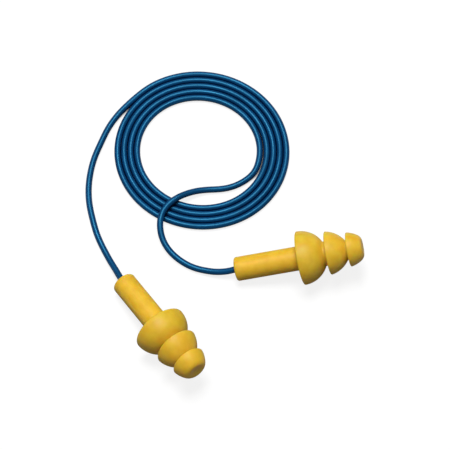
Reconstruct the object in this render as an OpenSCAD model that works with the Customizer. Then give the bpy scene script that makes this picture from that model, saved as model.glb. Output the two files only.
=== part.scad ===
// A pair of moulded triple-flange ear plugs on one vinyl cord, laid on a flat surface.
// Each plug is turned about its own axis. The cord is wound in a flat coil between the plugs.

/* [Stem] */
// Diameter of the stem
stem_d = 5.8; // [5:0.1:7]
// Length from the stem's rear face to the rim of the large flange
stem_length = 15.9; // [12:0.1:20]
// Radius of the round on the stem's rear edge
stem_edge_r = 0.5; // [0.3:0.05:1]

/* [Large flange] */
// Diameter of the large flange at its rim
large_d = 13; // [12:0.1:14]
// Radius of the large flange's dome
large_dome_r = 6.2; // [6:0.1:7]
// Lean of the large dome at its rim, in degrees
large_lean = 1.5; // [0:0.5:6]
// Wall of the large flange
large_wall = 0.6; // [0.45:0.05:1]
// Radius of the groove at the root of the large flange
large_root_r = 0.8; // [0.5:0.05:1]

/* [Middle flange] */
// Diameter of the middle flange at its rim
middle_d = 10.4; // [9.6:0.1:11]
// Radius of the middle flange's dome
middle_dome_r = 6.7; // [6.4:0.1:8]
// Lean of the middle dome at its rim, in degrees
middle_lean = 11; // [4:0.5:14]
// Wall of the middle flange
middle_wall = 0.5; // [0.4:0.05:0.9]
// Radius of the groove at the root of the middle flange
middle_root_r = 0.6; // [0.4:0.05:0.8]
// Distance from the large rim to the middle rim
middle_step = 6.6; // [6.2:0.1:7.5]
// Diameter of the neck under the middle flange
middle_neck_d = 4.9; // [4.4:0.1:5.4]

/* [Small flange] */
// Diameter of the small flange at its rim
small_d = 8.2; // [7.6:0.1:8.8]
// Radius of the small flange's side
small_dome_r = 6.6; // [6:0.1:8]
// Lean of the small flange's side at its rim, in degrees
small_lean = 11; // [5:0.5:14]
// Wall of the small flange
small_wall = 0.45; // [0.35:0.05:0.8]
// Radius of the groove at the root of the small flange
small_root_r = 0.5; // [0.35:0.05:0.7]
// Distance from the middle rim to the small rim
small_step = 5; // [4.6:0.1:5.6]
// Diameter of the neck under the small flange
small_neck_d = 4; // [3.6:0.1:4.4]
// Length from the small rim to the front of the nose
nose_length = 3.75; // [3.4:0.05:4.2]
// Radius of the nose's corner
nose_corner_r = 1.4; // [1:0.1:1.8]
// Radius of the crown on the nose's front
nose_crown_r = 8; // [6:0.5:20]

/* [Cord] */
// Diameter of the cord
cord_d = 1.55; // [1.2:0.05:1.8]
// Depth that the cord's end reaches into the stem
bore_depth = 8; // [5:0.5:12]
// Room for adhesive round the cord's end
bond_gap = 0.05; // [0.02:0.01:0.15]
// Angle that the coil winds through, in degrees
coil_sweep = 1590; // [720:15:1800]
// Radius of the coil halfway along its winding
coil_middle_r = 18; // [15:0.1:22]
// Gap between neighbouring turns
turn_gap = 0.42; // [0.42:0.01:0.8]
// How far the coil's outline swells out of round
coil_swell = 0.42; // [0:0.02:0.6]
// Direction of the coil's longest diameter, in degrees
coil_swell_heading = -16; // [-45:1:45]
// Direction in which the coil's outer end lies, in degrees
coil_start_heading = 140; // [130:1:150]
// Room between the coil and the lead that crosses it
crossing_gap = 0.15; // [0.1:0.05:0.5]

/* [Layout] */
// Where the left cord leaves its stem, left to right
left_exit_x = -27.6; // [-30:0.05:-26]
// Where the left cord leaves its stem, front to back
left_exit_y = 7.25; // [5:0.05:9]
// Direction that the left plug points, in degrees
left_heading = -54.2; // [-60:0.1:-50]
// Where the right cord leaves its stem, left to right
right_exit_x = -0.7; // [-2:0.05:1]
// Where the right cord leaves its stem, front to back
right_exit_y = 10.55; // [9:0.05:12]
// Direction that the right plug points, in degrees
right_heading = 5.7; // [2:0.1:10]
// Middle of the coil, left to right
coil_x = -9.4; // [-10:0.05:-9]
// Middle of the coil, front to back
coil_y = 42.55; // [42:0.05:43]

/* [Hidden] */
$fn = 96;

plug_colour = [0.93, 0.72, 0.16];
cord_colour = [0.04, 0.33, 0.55];

stem_r = stem_d / 2;
cord_r = cord_d / 2;
bore_r = cord_r + bond_gap;
middle_at = stem_length + middle_step;
small_at = middle_at + small_step;
plug_length = small_at + nose_length;

// A flange is [rim place, rim radius, lean, dome radius, wall, root radius, column radius].
middle_neck_r = middle_neck_d / 2;
small_neck_r = small_neck_d / 2;
large_rim = [stem_length, large_d / 2, large_lean];
middle_rim = [middle_at, middle_d / 2, middle_lean];
small_rim = [small_at, small_d / 2, small_lean];
large_flange = concat(large_rim, [large_dome_r, large_wall, large_root_r, stem_r]);
middle_flange = concat(middle_rim, [middle_dome_r, middle_wall, middle_root_r, middle_neck_r]);
small_flange = concat(small_rim, [small_dome_r, small_wall, small_root_r, small_neck_r]);

function rim_at(f) = f[0];
function rim_r(f) = f[1];
function lean(f) = f[2];
function dome_r(f) = f[3];
function wall(f) = f[4];
function root_r(f) = f[5];
function column_r(f) = f[6];

// A round stands proud of the face that it runs into by this much, so that the two cross at a clear line.
blend = 0.005;

// The rim is a full round, and the dome is an arc that leaves it at the lean angle.
function bead_r(f) = wall(f) / 2 + blend;
function bead_centre(f) = [rim_r(f) - bead_r(f), rim_at(f) + bead_r(f)];
function dome_centre(f) = bead_centre(f) - (dome_r(f) - wall(f) / 2) * [cos(lean(f)), sin(lean(f))];

// Place along the axis where an arc about a flange's dome centre has a given distance from the axis.
function arc_place(f, r, across) =
    let (c = dome_centre(f))
    c.y + sqrt(pow(r, 2) - pow(across - c.x, 2));

// The groove at the root touches the column and the inner face of the wall.
function root_centre(f) =
    let (across = column_r(f) + root_r(f))
    [across, arc_place(f, dome_r(f) - wall(f) - root_r(f) + blend, across)];

// The nose's corner touches the side of the small flange and the crown of the front. Its centre is where
// two circles cross, one about the dome's centre and one about the crown's.
crown_centre = [0, plug_length - nose_crown_r];
function corner_centre(f) =
    let (
        c = dome_centre(f),
        from_dome = dome_r(f) - nose_corner_r + blend,
        from_crown = nose_crown_r - nose_corner_r + blend,
        apart = norm(crown_centre - c),
        toward = (crown_centre - c) / apart,
        along = (pow(from_dome, 2) - pow(from_crown, 2) + pow(apart, 2)) / (2 * apart),
        aside = sqrt(pow(from_dome, 2) - pow(along, 2))
    )
    c + along * toward + aside * [-toward.y, toward.x];

// The resting plug leans on the round of its rear edge and on the rim of its large flange.
edge_centre = [stem_r - stem_edge_r, stem_edge_r];
rest_bead = bead_centre(large_flange);
rest_run = rest_bead - edge_centre;
rest_lift = bead_r(large_flange) - stem_edge_r;
rest_tilt = atan2(rest_run.x, rest_run.y) + asin(rest_lift / norm(rest_run));
exit_height = stem_edge_r + edge_centre.x * cos(rest_tilt) - edge_centre.y * sin(rest_tilt);

left_exit = [left_exit_x, left_exit_y, exit_height];
right_exit = [right_exit_x, right_exit_y, exit_height];

function plug_axis(heading) =
    [cos(heading) * cos(rest_tilt), sin(heading) * cos(rest_tilt), sin(rest_tilt)];

// The coil is a spiral that winds inwards, clockwise from above, with a slight oval swell.
coil_pitch = cord_d + turn_gap;
coil_centre = [coil_x, coil_y, cord_r];
rings_per_loop = 24;
coil_rings = coil_sweep * rings_per_loop / 360;
coil_sides = 6;
lead_sides = 8;

function coil_radius(wound) =
    coil_middle_r + coil_pitch * (coil_sweep / 2 - wound) / 360
    + coil_swell * cos(2 * (coil_start_heading - wound - coil_swell_heading));
function coil_point(wound) =
    let (heading = coil_start_heading - wound)
    coil_centre + coil_radius(wound) * [cos(heading), sin(heading), 0];
function unit(v) = v / norm(v);
function coil_heading(wound) = unit(coil_point(wound + 0.5) - coil_point(wound - 0.5));

// Each end of the coil runs straight for one diameter before it meets its lead.
coil_outer_end = coil_point(0) - cord_d * coil_heading(0);
coil_inner_end = coil_point(coil_sweep) + cord_d * coil_heading(coil_sweep);
coil_path = concat(
    [coil_outer_end],
    [for (i = [0 : coil_rings]) coil_point(i * coil_sweep / coil_rings)],
    [coil_inner_end]
);

// The clear distance between turns, measured on points half a loop or more apart.
least_turn_gap = min([
    for (i = [0 : len(coil_path) - 1])
    for (j = [i + rings_per_loop / 2 : 1 : len(coil_path) - 1])
    norm(coil_path[i] - coil_path[j])
]) - cord_d;
echo(least_turn_gap = least_turn_gap);

// Height of a lead's middle where it lies on the surface, and where it crosses the coil.
lying = cord_r;
crossing = cord_d + crossing_gap + cord_r;

left_lead_points = [
    [-29.9, 10.85, 1.7],
    [-30.9, 12.85, 1.2],
    [-32.4, 15.85, 0.85],
    [-34.4, 20.35, lying],
    [-35.4, 23.85, lying],
    [-36.4, 28.35, lying],
    [-36.7, 32.35, lying],
    [-36.4, 36.35, lying],
    [-35.4, 40.85, lying],
    [-33.9, 44.85, lying],
    [-32.4, 48.35, lying],
    [-29.9, 52.35, lying]
];

right_lead_points = [
    [3.6, 36.45, lying],
    [1.6, 34.55, lying],
    [-0.9, 33.15, lying],
    [-3.9, 32.35, lying],
    [-7.4, 32.05, 0.9],
    [-10.4, 31.45, 1.4],
    [-12.9, 30.45, 2],
    [-15.4, 28.95, crossing],
    [-17.4, 27.15, crossing],
    [-18.8, 24.35, crossing],
    [-19, 21.45, 2.1],
    [-18.4, 18.85, 1.6],
    [-16.8, 16.05, 1.2],
    [-14.4, 13.75, 0.9],
    [-11.1, 11.85, 0.8],
    [-7.4, 10.75, 1.1],
    [-4.7, 10.15, 1.75]
];

// A lead starts at the floor of its bore and runs straight out of the stem.
function stem_end(exit, heading) =
    let (axis = plug_axis(heading))
    [exit + bore_depth * axis, exit, exit - cord_d * axis];

left_lead_path = concat(
    stem_end(left_exit, left_heading),
    left_lead_points,
    [coil_outer_end - cord_d * coil_heading(0), coil_outer_end]
);
right_end = stem_end(right_exit, right_heading);
right_lead_path = concat(
    [coil_inner_end, coil_inner_end + cord_d * coil_heading(coil_sweep)],
    right_lead_points,
    [right_end[2], right_end[1], right_end[0]]
);

// A ring stands square to the path, with one corner straight down.
function path_heading(path, i) =
    let (last = len(path) - 1)
    i == 0 ? unit(path[1] - path[0]) :
    i == last ? unit(path[last] - path[last - 1]) :
    unit(unit(path[i + 1] - path[i]) + unit(path[i] - path[i - 1]));
function ring(centre, heading, r, sides) =
    let (side = unit(cross([0, 0, 1], heading)), down = cross(side, heading))
    [for (k = [0 : sides - 1]) centre + r * (sin(k * 360 / sides) * side + cos(k * 360 / sides) * down)];

module tube(path, r, sides) {
    last = len(path) - 1;
    points = [for (i = [0 : last]) each ring(path[i], path_heading(path, i), r, sides)];
    walls = [
        for (i = [0 : last - 1])
        for (k = [0 : sides - 1])
        let (a = i * sides + k, b = i * sides + (k + 1) % sides)
        each [[a, a + sides, b + sides], [a, b + sides, b]]
    ];
    first_cap = [for (k = [1 : sides - 2]) [0, k, k + 1]];
    last_cap = [for (k = [1 : sides - 2]) [last * sides, last * sides + k + 1, last * sides + k]];
    polyhedron(points, concat(walls, first_cap, last_cap));
}

// The half outline above the line from a flange's dome centre through its rim bead.
module above_rim(f) {
    c = dome_centre(f);
    wide = rim_r(f) + wall(f);
    rise = tan(lean(f));
    polygon([
        [0, c.y - c.x * rise],
        [wide, c.y + (wide - c.x) * rise],
        [wide, plug_length],
        [0, plug_length]
    ]);
}

module dome_circle(f, r) {
    translate(dome_centre(f)) circle(r);
}

// The hollow under a flange, between its column and the inner face of its wall.
module hollow(f) {
    c = dome_centre(f);
    root = root_centre(f);
    outward = root + 2 * dome_r(f) * unit(root - c);
    translate(root) circle(root_r(f));
    intersection() {
        dome_circle(f, dome_r(f) - wall(f));
        polygon([
            [column_r(f), rim_at(f) - wall(f)],
            [outward.x, rim_at(f) - wall(f)],
            outward,
            root,
            [column_r(f), root.y]
        ]);
    }
}

module skirt(f) {
    difference() {
        intersection() {
            dome_circle(f, dome_r(f));
            above_rim(f);
            square([rim_r(f) + wall(f), plug_length]);
        }
        hollow(f);
    }
    translate(bead_centre(f)) circle(bead_r(f));
}

module stem_outline() {
    root_at = root_centre(large_flange).y;
    square([edge_centre.x, root_at]);
    translate([0, stem_edge_r]) square([stem_r, root_at - stem_edge_r]);
    translate(edge_centre) circle(stem_edge_r);
}

// A neck runs from inside the dome behind a flange to the root of that flange.
module neck_outline(f, behind) {
    start = root_centre(behind).y;
    translate([0, start]) square([column_r(f), root_centre(f).y - start]);
}

// The small flange carries on into the nose, with a round corner and a slightly crowned front.
module nose_outline(f) {
    c = dome_centre(f);
    corner = corner_centre(f);
    outward = corner + 2 * dome_r(f) * unit(corner - c);
    intersection() {
        skirt(f);
        polygon([
            [0, rim_at(f)],
            [outward.x, rim_at(f)],
            outward,
            corner,
            [0, corner.y]
        ]);
    }
    translate(corner) circle(nose_corner_r);
    intersection() {
        translate(crown_centre) circle(nose_crown_r);
        polygon([
            [0, corner.y],
            corner,
            corner + 2 * nose_corner_r * unit(corner - crown_centre),
            [0, plug_length + nose_corner_r]
        ]);
    }
}

module plug_outline() {
    stem_outline();
    skirt(large_flange);
    neck_outline(middle_flange, large_flange);
    skirt(middle_flange);
    neck_outline(small_flange, middle_flange);
    nose_outline(small_flange);
}

module plug(exit, heading) {
    color(plug_colour)
    translate(exit)
    rotate([0, 90 - rest_tilt, heading])
    difference() {
        rotate_extrude() plug_outline();
        cylinder(h = bore_depth * 2, r = bore_r, center = true);
    }
}

module left_plug() {
    plug(left_exit, left_heading);
}

module right_plug() {
    plug(right_exit, right_heading);
}

module cord_left_lead() {
    color(cord_colour) tube(left_lead_path, cord_r, lead_sides);
}

module cord_coil() {
    color(cord_colour) tube(coil_path, cord_r, coil_sides);
}

module cord_right_lead() {
    color(cord_colour) tube(right_lead_path, cord_r, lead_sides);
}

left_plug();
right_plug();
cord_left_lead();
cord_coil();
cord_right_lead();
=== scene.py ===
import bpy
import math
import numpy as np
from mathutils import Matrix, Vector


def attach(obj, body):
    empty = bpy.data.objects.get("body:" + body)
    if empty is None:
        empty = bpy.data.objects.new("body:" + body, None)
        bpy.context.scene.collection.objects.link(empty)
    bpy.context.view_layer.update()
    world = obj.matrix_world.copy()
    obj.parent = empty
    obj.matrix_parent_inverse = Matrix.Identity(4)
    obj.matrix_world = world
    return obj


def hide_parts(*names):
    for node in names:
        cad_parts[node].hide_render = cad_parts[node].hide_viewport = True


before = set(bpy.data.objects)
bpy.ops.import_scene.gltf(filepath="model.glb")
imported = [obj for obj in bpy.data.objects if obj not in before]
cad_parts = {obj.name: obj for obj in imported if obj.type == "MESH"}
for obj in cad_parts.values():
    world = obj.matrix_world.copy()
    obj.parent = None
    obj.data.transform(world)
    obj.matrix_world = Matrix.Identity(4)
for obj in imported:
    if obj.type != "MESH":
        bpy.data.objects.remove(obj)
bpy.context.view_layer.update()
mm = 0.001
scene = bpy.context.scene
scene.view_settings.view_transform = "Standard"
print("frame loaded:", sorted(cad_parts))

# camera, at the photo's angle: looks along +Y and down
cameraSet = {
    "lookAt": (-3.3, 23.1, 0.0),    # mm, lands in the middle of the picture
    "elevation": 68.0,              # degrees
    "distance": 482.16,             # mm
    "pixelsPerMm": 4.1063,          # at the point looked at
    "pictureWidth": 450,
    "sensor": 36.0,                 # mm
    "clip": (0.01, 20.0),           # metres
}


def makeCamera(s):
    rise = math.radians(s["elevation"])
    back = Vector((0.0, -math.cos(rise), math.sin(rise)))
    data = bpy.data.cameras.new("photoCamera")
    data.sensor_width = s["sensor"]
    data.lens = s["pixelsPerMm"] * s["distance"] * s["sensor"] / s["pictureWidth"]
    data.clip_start, data.clip_end = s["clip"]
    camera = bpy.data.objects.new("photoCamera", data)
    camera.location = Vector(s["lookAt"]) * mm + back * (s["distance"] * mm)
    camera.rotation_euler = (-back).to_track_quat("-Z", "Y").to_euler()
    scene.collection.objects.link(camera)
    scene.camera = camera
    print(f"camera: lens {data.lens:.1f} mm")


makeCamera(cameraSet)

# plug: turned about its axis. mm and degrees; as the CAD part, apart from the nose's front, the
# necks and the give of the large rim, which follow the photo
plugSet = {
    "stemRadius": 2.9,
    "edgeRadius": 0.5,
    "boreRadius": 0.825,
    "boreDepth": 8.0,
    "mouthRadius": 0.18,
    "length": 31.25,                # before the front is hollowed
    "cornerRadius": 2.0,
    "crownRadius": 9.0,             # of the nose's front
    "tipRadius": 0.02,              # of the last ring, which a fan closes
    "hollowRadius": 2.3,            # inside it the front sinks
    "hollowDepth": 0.42,
    "hollowEdge": 2.0,              # width of the smooth step down
    "fillet": 0.35,                 # where a neck leaves the dome behind it
    "flanges": [                    # column: radius of the stem or neck behind the flange
        {"rimAt": 15.9, "rim": 6.5, "lean": 1.5, "dome": 6.2,
         "wall": 0.6, "root": 0.8, "column": 2.9},
        {"rimAt": 22.5, "rim": 5.2, "lean": 11.0, "dome": 6.7,
         "wall": 0.5, "root": 0.6, "column": 2.95},
        {"rimAt": 27.5, "rim": 4.1, "lean": 11.0, "dome": 6.6,
         "wall": 0.45, "root": 0.5, "column": 2.4},
    ],
    "leftExit": (-27.6, 7.25),      # where the cord leaves the stem
    "leftHeading": -54.2,
    "rightExit": (-0.7, 10.55),
    "rightHeading": 5.7,
    # how far the top of the large rim has given way: to the side, down, along the axis
    "leftGive": (-0.45, 0.45, -0.06),
    "rightGive": (0.0, 0.38, -0.24),
    "around": 160,                  # points in each ring
    # points along each stretch of the outline
    "points": {"bore": 6, "mouth": 6, "rear": 5, "edge": 10, "root": 14, "inner": 22, "rim": 14,
               "dome": 36, "fillet": 8, "lastDome": 20, "corner": 24, "crown": 40},
    "columnLeast": 3,               # the fewest points on a stem or neck
    "columnStep": 0.4,
    "samePlace": 1e-6,              # points closer than this are one
}


# A plug leans on the round of its rear edge and on the rim of its large flange.
def restOf(s):
    edge, large = s["edgeRadius"], s["flanges"][0]
    bead = large["wall"] / 2
    across = (large["rim"] - bead) - (s["stemRadius"] - edge)
    along = (large["rimAt"] + bead) - edge
    tilt = math.atan2(across, along) + math.asin((bead - edge) / math.hypot(across, along))
    return tilt, edge + (s["stemRadius"] - edge) * math.cos(tilt) - edge * math.sin(tilt)


restTilt, exitHeight = restOf(plugSet)
print(f"plugs lie at {math.degrees(restTilt):.3f} degrees, cord leaves {exitHeight:.4f} mm up")


def plugAxis(side):
    heading = math.radians(plugSet[side + "Heading"])
    level = math.cos(restTilt)
    return np.array([math.cos(heading) * level, math.sin(heading) * level, math.sin(restTilt)])


def stemExit(side):
    return np.array([*plugSet[side + "Exit"], exitHeight])


# Distance along a row of points, from the first to each.
def wayAlong(points):
    return np.concatenate([[0], np.cumsum(np.linalg.norm(np.diff(points, axis=0), axis=1))])


# One closed surface from rings of points. Ring i, place j is the grid's point (i, j), and a tip
# point closes each end with a fan. Places run counter-clockwise, seen along the rings' way, so that
# faces point outwards. UV is j / count across and the given run of each ring up.
def ringSurface(name, rings, tips, run):
    count, around = rings.shape[:2]
    verts = np.concatenate([rings.reshape(-1, 3), np.asarray(tips, float)]) * mm
    row, col = np.meshgrid(np.arange(count - 1), np.arange(around), indexing="ij")
    row, col = row.ravel(), col.ravel()
    beside = (col + 1) % around
    quads = np.stack([row * around + col, (row + 1) * around + col,
                      (row + 1) * around + beside, row * around + beside], 1)
    place = np.arange(around)
    after = (place + 1) % around
    last = (count - 1) * around
    startFan = np.stack([place, after, np.full(around, count * around)], 1)
    endFan = np.stack([last + after, last + place, np.full(around, count * around + 1)], 1)
    mesh = bpy.data.meshes.new(name)
    mesh.from_pydata(verts.tolist(), [], quads.tolist() + startFan.tolist() + endFan.tolist())
    low, high = col / around, (col + 1) / around
    quadUv = np.stack([low, run[row], low, run[row + 1], high, run[row + 1], high, run[row]], 1)
    low, high, middle = place / around, (place + 1) / around, (place + 0.5) / around
    start, end = np.full(around, run[0]), np.full(around, run[-1])
    startUv = np.stack([low, start, high, start, middle, start], 1)
    endUv = np.stack([high, end, low, end, middle, end], 1)
    layer = mesh.uv_layers.new(name="surfaceUv")
    uv = np.concatenate([quadUv.ravel(), startUv.ravel(), endUv.ravel()])
    layer.data.foreach_set("uv", uv.astype(np.float32))
    mesh.polygons.foreach_set("use_smooth", np.ones(len(mesh.polygons), bool))
    mesh.update()
    piece = bpy.data.objects.new(name, mesh)
    scene.collection.objects.link(piece)
    return piece


# cord: one length of vinyl from bore to bore. mm and degrees; the leads are the CAD part's points,
# moved near the stems to sag as in the photo
cordSet = {
    "diameter": 1.55,
    "inBore": (7.9, 6, 4, 2, 0),    # places in the stem, from the bore's floor to its mouth
    "coilCentre": (-9.4, 42.55),
    "coilOuterRadius": 21.52,
    "coilPitch": 1.61,
    "coilSweep": 1590.0,
    "coilStart": 140.0,
    "swell": 0.42,
    "swellHeading": -16.0,
    "driftFrom": 1520.0,            # from here on the last turn leaves its neighbour
    "drift": 0.16,
    "coilStep": 15.0,
    "sides": 20,
    "ringStep": 0.4,
    "length": 0.63,                 # metres, bore floor to bore floor
    "leftLead": [
        (-29.62, 10.85, 1.7), (-30.74, 12.85, 1.2), (-32.32, 15.85, 0.85), (-34.35, 20.35, 0.775),
        (-35.4, 23.85, 0.775), (-36.4, 28.35, 0.775), (-36.7, 32.35, 0.775), (-36.4, 36.35, 0.775),
        (-35.4, 40.85, 0.775), (-33.9, 44.85, 0.775), (-32.4, 48.35, 0.775), (-29.9, 52.35, 0.775)],
    "rightLead": [
        (3.6, 36.45, 0.775), (1.6, 34.55, 0.775), (-0.9, 33.15, 0.775), (-3.9, 32.35, 0.775),
        (-7.4, 32.05, 0.9), (-10.4, 31.45, 1.4), (-12.9, 30.45, 2), (-15.4, 28.95, 2.475),
        (-17.4, 27.15, 2.475), (-18.8, 24.35, 2.475), (-19, 21.45, 2.1), (-18.4, 18.85, 1.6),
        (-16.8, 16.05, 1.2), (-14.4, 13.75, 0.9), (-11.82, 12.15, 0.8), (-9.88, 11.37, 0.86),
        (-7.93, 10.85, 1.02), (-5.98, 10.45, 1.32), (-4.03, 10.28, 1.75), (-2.33, 10.31, 2.25)],
}


# Flat spiral: the radius falls by one pitch a turn, with two slight swells round the circle, and
# falls a little more, as the square of the way along, at the inner end.
def coilPoints(s):
    wound = np.arange(0.0, s["coilSweep"] + s["coilStep"] / 2, s["coilStep"])
    heading = np.radians(s["coilStart"] - wound)
    radius = s["coilOuterRadius"] - s["coilPitch"] * wound / 360
    radius = radius + s["swell"] * np.cos(2 * (heading - math.radians(s["swellHeading"])))
    late = np.clip((wound - s["driftFrom"]) / (s["coilSweep"] - s["driftFrom"]), 0, 1)
    radius = radius - s["drift"] * late * late
    x = s["coilCentre"][0] + radius * np.cos(heading)
    y = s["coilCentre"][1] + radius * np.sin(heading)
    return np.stack([x, y, np.full_like(x, s["diameter"] / 2)], 1)


# Cubic through the points, with chord length as its parameter and no bend at either end. The bends
# at the points come from one linear system, which makes the slope run on through each point.
def smoothRoute(points, step):
    chord = np.linalg.norm(np.diff(points, axis=0), axis=1)
    knots = np.concatenate([[0], np.cumsum(chord)])
    n = len(points)
    matrix = np.eye(n)
    right = np.zeros((n, 3))
    i = np.arange(1, n - 1)
    matrix[i, i - 1] = chord[:-1]
    matrix[i, i] = 2 * (chord[:-1] + chord[1:])
    matrix[i, i + 1] = chord[1:]
    slope = np.diff(points, axis=0) / chord[:, None]
    right[1:-1] = 6 * np.diff(slope, axis=0)
    bend = np.linalg.solve(matrix, right)
    at = np.linspace(0, knots[-1], int(knots[-1] / step) + 1)
    k = np.clip(np.searchsorted(knots, at, side="right") - 1, 0, n - 2)
    h = chord[k][:, None]
    u = ((at - knots[k]) / chord[k])[:, None]
    chordLine = points[k] * (1 - u) + points[k + 1] * u
    return chordLine + h * h / 6 * (((1 - u) ** 3 - (1 - u)) * bend[k] + (u ** 3 - u) * bend[k + 1])


# Round profile of one radius carried along the route. Each ring stands square to the route, and its
# first place points down, so the seam of the UV map lies underneath.
def tubeRings(route, radius, sides):
    heading = np.gradient(route, axis=0)
    heading /= np.linalg.norm(heading, axis=1)[:, None]
    side = np.cross([0.0, 0.0, 1.0], heading)
    side /= np.linalg.norm(side, axis=1)[:, None]
    down = np.cross(side, heading)
    turn = np.arange(sides) * 2 * math.pi / sides
    return (route[:, None, :] + radius * (np.cos(turn)[None, :, None] * down[:, None, :]
            - np.sin(turn)[None, :, None] * side[:, None, :]))


def makeCord(s):
    inside = np.array(s["inBore"])[:, None]
    ends = {side: stemExit(side) + inside * plugAxis(side) for side in ("left", "right")}
    points = np.concatenate([ends["left"], np.array(s["leftLead"], float), coilPoints(s),
                             np.array(s["rightLead"], float), ends["right"][::-1]])
    route = smoothRoute(points, s["ringStep"])
    rings = tubeRings(route, s["diameter"] / 2, s["sides"])
    run = wayAlong(route)
    cord = ringSurface("cord", rings, [route[0], route[-1]], run)
    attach(cord, "root")
    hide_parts("cord_left_lead", "cord_coil", "cord_right_lead")
    print(f"cord: {run[-1]:.1f} mm, lowest {rings[..., 2].min():.3f} mm")
    return cord


cord = makeCord(cordSet)


# Points of an arc: centre plus radius times the cosine and sine of evenly spaced angles.
def arc(centre, radius, fromAngle, toAngle, count):
    angle = np.radians(np.linspace(fromAngle, toAngle, count))
    return np.stack([centre[0] + radius * np.cos(angle), centre[1] + radius * np.sin(angle)], 1)


# Points of a straight stretch: the share of its first end falls evenly as the second end's grows.
def straight(a, b, count):
    u = np.linspace(0, 1, count)[:, None]
    return np.array(a, float) * (1 - u) + np.array(b, float) * u


def angleOf(v):
    return math.degrees(math.atan2(v[1], v[0]))


# Where two circles cross, on the side away from the axis.
def crossing(a, radiusA, b, radiusB):
    apart = math.hypot(*(b - a))
    toward = (b - a) / apart
    along = (radiusA ** 2 - radiusB ** 2 + apart ** 2) / (2 * apart)
    aside = math.sqrt(radiusA ** 2 - along ** 2)
    return a + along * toward + aside * np.array([-toward[1], toward[0]])


# Three squares less two cubes: rises from 0 to 1 and is level at both ends.
def smoothStep(x):
    x = np.clip(x, 0, 1)
    return x * x * (3 - 2 * x)


# The nose's front: a rounded corner that touches the last dome, then a crown, less a smooth step
# down into the hollow.
def noseFront(s, centre, dome):
    n, cornerRadius, crownRadius = s["points"], s["cornerRadius"], s["crownRadius"]
    crown = np.array([0.0, s["length"] - crownRadius])
    corner = crossing(centre, dome - cornerRadius, crown, crownRadius - cornerRadius)
    turned, met = angleOf(corner - centre), angleOf(corner - crown)
    nearAxis = 90 - math.degrees(s["tipRadius"] / crownRadius)
    face = np.concatenate([arc(corner, cornerRadius, turned, met, n["corner"]),
                           arc(crown, crownRadius, met, nearAxis, n["crown"])])
    dip = smoothStep((s["hollowRadius"] - face[:, 0]) / s["hollowEdge"])
    face[:, 1] -= s["hollowDepth"] * dip
    return turned, face


# The outline from the bore's floor to the nose, as (distance from axis, place along it): bore, rear
# edge, stem, for each flange its root groove, inner dome, full-round rim and outer dome, and the
# front. The second array says how loose each point is: the square of its way from the large
# flange's root to its rim, else 0.
def plugOutline(s):
    bore, stem, edge, mouth = s["boreRadius"], s["stemRadius"], s["edgeRadius"], s["mouthRadius"]
    n, flanges, fillet = s["points"], s["flanges"], s["fillet"]
    parts = [
        straight((bore, s["boreDepth"]), (bore, mouth), n["bore"]),
        arc((bore + mouth, mouth), mouth, 180, 270, n["mouth"]),
        straight((bore + mouth, 0), (stem - edge, 0), n["rear"]),
        arc((stem - edge, edge), edge, 270, 360, n["edge"]),
    ]
    owner = [-1] * len(parts)
    start = edge
    for i, flange in enumerate(flanges):
        lean, dome, wall = flange["lean"], flange["dome"], flange["wall"]
        root, column = flange["root"], flange["column"]
        bead = np.array([flange["rim"] - wall / 2, flange["rimAt"] + wall / 2])
        tip = math.radians(lean)
        centre = bead - (dome - wall / 2) * np.array([math.cos(tip), math.sin(tip)])
        across = column + root
        reach = dome - wall - root
        groove = np.array([across, centre[1] + math.sqrt(reach ** 2 - (across - centre[0]) ** 2)])
        meet = angleOf(groove - centre)
        columnCount = max(s["columnLeast"], int((groove[1] - start) / s["columnStep"]))
        parts += [
            straight((column, start), (column, groove[1]), columnCount),
            arc(groove, root, 180, meet, n["root"]),
            arc(centre, dome - wall, meet, lean, n["inner"]),
            arc(bead, wall / 2, lean + 180, lean + 360, n["rim"]),
        ]
        if i < len(flanges) - 1:
            neck = flanges[i + 1]["column"] + fillet
            grown = dome + fillet
            blend = np.array([neck, centre[1] + math.sqrt(grown ** 2 - (neck - centre[0]) ** 2)])
            parts += [
                arc(centre, dome, lean, angleOf(blend - centre), n["dome"]),
                arc(blend, fillet, angleOf(centre - blend), -180, n["fillet"]),
            ]
            start = blend[1]
        else:
            turned, face = noseFront(s, centre, dome)
            parts += [arc(centre, dome, lean, turned, n["lastDome"]), face]
        owner += [i] * (len(parts) - len(owner))
    outline = np.concatenate(parts)
    owner = np.repeat(owner, [len(part) for part in parts])
    rim, root = flanges[0]["rim"], flanges[0]["column"] + flanges[0]["root"]
    loose = np.clip((outline[:, 0] - root) / (rim - root), 0, 1) ** 2 * (owner == 0)
    apart = np.linalg.norm(np.diff(outline, axis=0), axis=1)
    fresh = np.concatenate([[True], apart > s["samePlace"]])
    return outline[fresh], loose[fresh]


# The outline turned about the plug's axis. The give moves each point by its looseness times half of
# 1 less the cosine of its turn, which is 0 underneath and 1 on top.
def makePlug(s, side):
    outline, loose = plugOutline(s)
    axis = plugAxis(side)
    level = np.cross([0.0, 0.0, 1.0], axis)
    level /= np.linalg.norm(level)
    down = np.cross(level, axis)
    turn = np.arange(s["around"]) * 2 * math.pi / s["around"]
    spoke = np.cos(turn)[:, None] * down - np.sin(turn)[:, None] * level
    origin = stemExit(side)
    rings = origin + outline[:, 1, None, None] * axis + outline[:, 0, None, None] * spoke[None]
    aside, lower, ahead = s[side + "Give"]
    give = aside * level + lower * down + ahead * axis
    top = (1 - np.cos(turn)) / 2
    rings = rings + loose[:, None, None] * top[None, :, None] * give
    tips = [origin + s["boreDepth"] * axis, origin + outline[-1, 1] * axis]
    plug = ringSurface(side + "Plug", rings, tips, wayAlong(outline))
    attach(plug, "root")
    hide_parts(side + "_plug")
    print(f"{side} plug: {len(outline)} rings, lowest {rings[..., 2].min():.3f} mm")
    return plug


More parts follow.
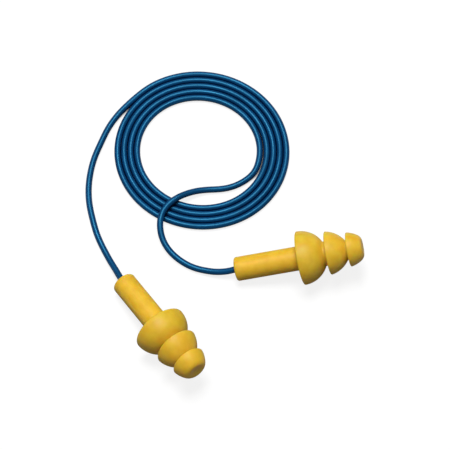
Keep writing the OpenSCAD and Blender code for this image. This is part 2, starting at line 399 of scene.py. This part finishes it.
leftPlug = makePlug(plugSet, "left")
rightPlug = makePlug(plugSet, "right")


def principled(name):
    material = bpy.data.materials.new(name)
    material.use_nodes = True
    return material, material.node_tree, material.node_tree.nodes["Principled BSDF"]


def addNode(tree, kind, **values):
    node = tree.nodes.new(kind)
    for key, value in values.items():
        setattr(node, key, value)
    return node


# an output is linked to its socket, anything else is set on it as a constant
def feed(tree, node, values):
    for name, value in values.items():
        if isinstance(value, bpy.types.NodeSocket):
            tree.links.new(value, node.inputs[name])
        else:
            node.inputs[name].default_value = value


# Moulded skin, used by both finishes: Mottle is a slow cloud of the pigment, Grain is the fine
# tooth of the mould. Scales are per metre.
skinSet = {
    "cloudDetail": 4.0,
    "cloudRoughness": 0.55,
    "cloudLow": 0.32,               # the cloud's values from here to cloudHigh fill 0 to 1
    "cloudHigh": 0.68,
    "grainDetail": 3.0,
}


def makeSkinGroup(s):
    group = bpy.data.node_groups.new("mouldedSkin", "ShaderNodeTree")
    face = group.interface
    face.new_socket("Vector", in_out="INPUT", socket_type="NodeSocketVector")
    for name in ("Cloud Scale", "Grain Scale"):
        face.new_socket(name, in_out="INPUT", socket_type="NodeSocketFloat")
    for name in ("Mottle", "Grain"):
        face.new_socket(name, in_out="OUTPUT", socket_type="NodeSocketFloat")
    given = addNode(group, "NodeGroupInput").outputs
    result = addNode(group, "NodeGroupOutput")
    cloud = addNode(group, "ShaderNodeTexNoise")
    feed(group, cloud, {"Vector": given["Vector"], "Scale": given["Cloud Scale"],
                        "Detail": s["cloudDetail"], "Roughness": s["cloudRoughness"]})
    spread = addNode(group, "ShaderNodeMapRange")
    feed(group, spread, {"Value": cloud.outputs["Fac"],
                         "From Min": s["cloudLow"], "From Max": s["cloudHigh"]})
    tooth = addNode(group, "ShaderNodeTexNoise")
    feed(group, tooth, {"Vector": given["Vector"], "Scale": given["Grain Scale"],
                        "Detail": s["grainDetail"]})
    feed(group, result, {"Mottle": spread.outputs["Result"], "Grain": tooth.outputs["Fac"]})
    return group


skinGroup = makeSkinGroup(skinSet)


def addSkin(tree, vector, cloudScale, grainScale):
    skin = addNode(tree, "ShaderNodeGroup", node_tree=skinGroup)
    feed(tree, skin, {"Vector": vector, "Cloud Scale": cloudScale, "Grain Scale": grainScale})
    return skin.outputs["Mottle"], skin.outputs["Grain"]


def addMix(tree, factor, first, second):
    mix = addNode(tree, "ShaderNodeMix", data_type="RGBA")
    feed(tree, mix, {"Factor": factor, "A": first, "B": second})
    return mix.outputs["Result"]


def addMath(tree, operation, first, second):
    node = addNode(tree, "ShaderNodeMath", operation=operation)
    feed(tree, node, {0: first, 1: second})
    return node.outputs["Value"]


def addRange(tree, value, low, high):
    remap = addNode(tree, "ShaderNodeMapRange")
    feed(tree, remap, {"Value": value, "To Min": low, "To Max": high})
    return remap.outputs["Result"]


def addBump(tree, height, depth, strength):
    bump = addNode(tree, "ShaderNodeBump")
    feed(tree, bump, {"Height": height, "Distance": depth, "Strength": strength})
    return bump


# 1 where a surface lies open, down to 0 where something stands within the reach; the masks of
# painted shade use it
def addOpenness(tree, reach, dark, clear):
    around = addNode(tree, "ShaderNodeAmbientOcclusion")
    feed(tree, around, {"Distance": reach})
    spread = addNode(tree, "ShaderNodeMapRange", interpolation_type="SMOOTHSTEP")
    feed(tree, spread, {"Value": around.outputs["AO"], "From Min": dark, "From Max": clear})
    return spread.outputs["Result"]


# soft yellow elastomer: matte, a little light passes through it
elastomerSet = {
    "deep": (0.785, 0.471, 0.026, 1.0),
    "light": (0.865, 0.55, 0.043, 1.0),
    "roughness": (0.42, 0.50),
    "cloudScale": 420.0,
    "grainScale": 5200.0,
    "grainDepth": 0.00006,          # metres
    "grainStrength": 0.35,
    "specular": 0.28,
    "throughWeight": 0.7,
    "throughScale": 0.0016,         # metres
    "throughRadius": (1.0, 0.42, 0.06),
}


def makeElastomer(s):
    material, tree, shader = principled("plugElastomer")
    place = addNode(tree, "ShaderNodeTexCoord")
    mottle, grain = addSkin(tree, place.outputs["Object"], s["cloudScale"], s["grainScale"])
    tooth = addBump(tree, grain, s["grainDepth"], s["grainStrength"])
    feed(tree, shader, {
        "Base Color": addMix(tree, mottle, s["deep"], s["light"]),
        "Roughness": addRange(tree, mottle, *s["roughness"]),
        "Normal": tooth.outputs["Normal"],
        "Specular IOR Level": s["specular"],
        "Subsurface Weight": s["throughWeight"],
        "Subsurface Scale": s["throughScale"],
        "Subsurface Radius": s["throughRadius"],
    })
    return material


# blue vinyl: satin, with faint lines drawn along it by the die, a gloss that comes and goes and
# shade painted into the gaps between turns
vinylSet = {
    "deep": (0.0004, 0.031, 0.108, 1.0),
    "light": (0.0006, 0.044, 0.148, 1.0),
    "gapShadeColour": (0.0001, 0.011, 0.064, 1.0),
    "gapShadeReach": 0.0015,             # metres; painted shade: the colour deepens in gaps between turns that are narrower than this
    "gapShadeDark": 0.30,
    "gapShadeClear": 0.98,
    "roughness": (0.18, 0.62),
    "glossScale": (2.0, 0.07, 1.0),
    "cloudScale": 260.0,
    "grainScale": 6000.0,
    "grainDepth": 0.00001,          # metres
    "grainStrength": 0.3,
    "lineScale": (14.0, 0.05, 1.0),
    "lineDepth": 0.00005,           # metres
    "lineStrength": 0.4,
    "streakDetail": 2.0,
    "specular": 0.9,
    "specularTint": (0.11, 0.62, 1.0, 1.0),
}


# noise on the UV map, where y is the way along the cord in mm
def addStretched(tree, vector, scale, detail):
    stretch = addNode(tree, "ShaderNodeMapping")
    feed(tree, stretch, {"Vector": vector, "Scale": scale})
    noise = addNode(tree, "ShaderNodeTexNoise")
    feed(tree, noise, {"Vector": stretch.outputs["Vector"], "Scale": 1.0, "Detail": detail})
    return noise.outputs["Fac"]


def makeVinyl(s):
    material, tree, shader = principled("cordVinyl")
    place = addNode(tree, "ShaderNodeTexCoord")
    mottle, grain = addSkin(tree, place.outputs["Object"], s["cloudScale"], s["grainScale"])
    lines = addStretched(tree, place.outputs["UV"], s["lineScale"], s["streakDetail"])
    gloss = addStretched(tree, place.outputs["UV"], s["glossScale"], s["streakDetail"])
    tone = addMix(tree, mottle, s["deep"], s["light"])
    # painted shade: the base colour goes to the dark gap colour where turns stand close together
    clear = addOpenness(tree, s["gapShadeReach"], s["gapShadeDark"], s["gapShadeClear"])
    tooth = addBump(tree, grain, s["grainDepth"], s["grainStrength"])
    drawn = addBump(tree, lines, s["lineDepth"], s["lineStrength"])
    feed(tree, drawn, {"Normal": tooth.outputs["Normal"]})
    feed(tree, shader, {
        "Base Color": addMix(tree, clear, s["gapShadeColour"], tone),
        "Roughness": addRange(tree, gloss, *s["roughness"]),
        "Normal": drawn.outputs["Normal"],
        "Specular IOR Level": s["specular"],
        "Specular Tint": s["specularTint"],
    })
    return material


elastomer = makeElastomer(elastomerSet)
vinyl = makeVinyl(vinylSet)
for piece, material in ((leftPlug, elastomer), (rightPlug, elastomer), (cord, vinyl)):
    piece.data.materials.append(material)
print("materials done")

# floor and light. metres
studioSet = {
    "white": (1.0, 1.0, 1.0, 1.0),
    "floorSize": 3.0,
    "floorColour": (0.18, 0.18, 0.18, 1.0),
    "floorRoughness": 1.0,
    "floorSpecular": 0.0,
    "floorGlow": 0.84,              # for the camera and reflections, lifts the floor to white
    "gapShadeColour": (0.0, 0.0, 0.0, 1.0),
    "contactShadeReach": 0.002,          # painted shadow: the floor's colour and glow darken in gaps that are narrower than this
    "contactShadeDark": 0.12,
    "contactShadeClear": 0.36,
    "mirrorShadeReach": 0.06,            # painted shade: the floor's glow darkens the same way in reflections, within this reach of the object
    "mirrorShadeDark": 0.82,
    "mirrorShadeClear": 1.0,
    "worldLow": 0.04,               # strength at the horizon and below
    "worldHigh": 0.30,              # strength overhead
    "keyFrom": (-0.07, 0.25, 0.96),
    "keyDistance": 1.4,
    "keySize": 0.55,
    "keyLevel": 0.945,              # of a white card under the key alone, were it a point
}


def makeFloor(s):
    half = s["floorSize"] / 2
    corners = np.array([[-1, -1, 0], [1, -1, 0], [1, 1, 0], [-1, 1, 0]]) * half
    mesh = bpy.data.meshes.new("floor")
    mesh.from_pydata(corners.tolist(), [], [(0, 1, 2, 3)])
    floor = bpy.data.objects.new("floor", mesh)
    scene.collection.objects.link(floor)
    material, tree, shader = principled("paleFloor")
    # painted shadow: near the object and between the turns, the floor's colour goes black and its
    # glow for the camera fades
    contactShade = addOpenness(tree, s["contactShadeReach"], s["contactShadeDark"], s["contactShadeClear"])
    # painted shade: the floor's glow, as reflections see it, fades near the object
    mirrorShade = addOpenness(tree, s["mirrorShadeReach"], s["mirrorShadeDark"], s["mirrorShadeClear"])
    path = addNode(tree, "ShaderNodeLightPath").outputs
    direct = addMath(tree, "MULTIPLY", path["Is Camera Ray"], contactShade)
    mirrored = addMath(tree, "MAXIMUM", path["Is Glossy Ray"], path["Is Transmission Ray"])
    mirrored = addMath(tree, "MULTIPLY", mirrored, mirrorShade)
    seen = addMath(tree, "MAXIMUM", direct, mirrored)
    feed(tree, shader, {
        "Base Color": addMix(tree, contactShade, s["gapShadeColour"], s["floorColour"]),
        "Roughness": s["floorRoughness"],
        "Specular IOR Level": s["floorSpecular"],
        "Emission Color": s["white"],
        "Emission Strength": addMath(tree, "MULTIPLY", seen, s["floorGlow"]),
    })
    mesh.materials.append(material)


def makeLight(s):
    world = bpy.data.worlds.new("studio")
    world.use_nodes = True
    tree = world.node_tree
    place = addNode(tree, "ShaderNodeTexCoord")
    split = addNode(tree, "ShaderNodeSeparateXYZ")
    feed(tree, split, {"Vector": place.outputs["Generated"]})
    feed(tree, tree.nodes["Background"], {
        "Color": s["white"],
        "Strength": addRange(tree, split.outputs["Z"], s["worldLow"], s["worldHigh"]),
    })
    scene.world = world
    lamp = bpy.data.lights.new("keyLight", "AREA")
    lamp.shape = "SQUARE"
    lamp.size = s["keySize"]
    lamp.energy = s["keyLevel"] * (math.pi * s["keyDistance"]) ** 2
    key = bpy.data.objects.new("keyLight", lamp)
    way = Vector(s["keyFrom"]).normalized()
    key.location = Vector(cameraSet["lookAt"]) * mm + way * s["keyDistance"]
    key.rotation_euler = way.to_track_quat("Z", "Y").to_euler()
    scene.collection.objects.link(key)


makeFloor(studioSet)
makeLight(studioSet)
print("studio done")
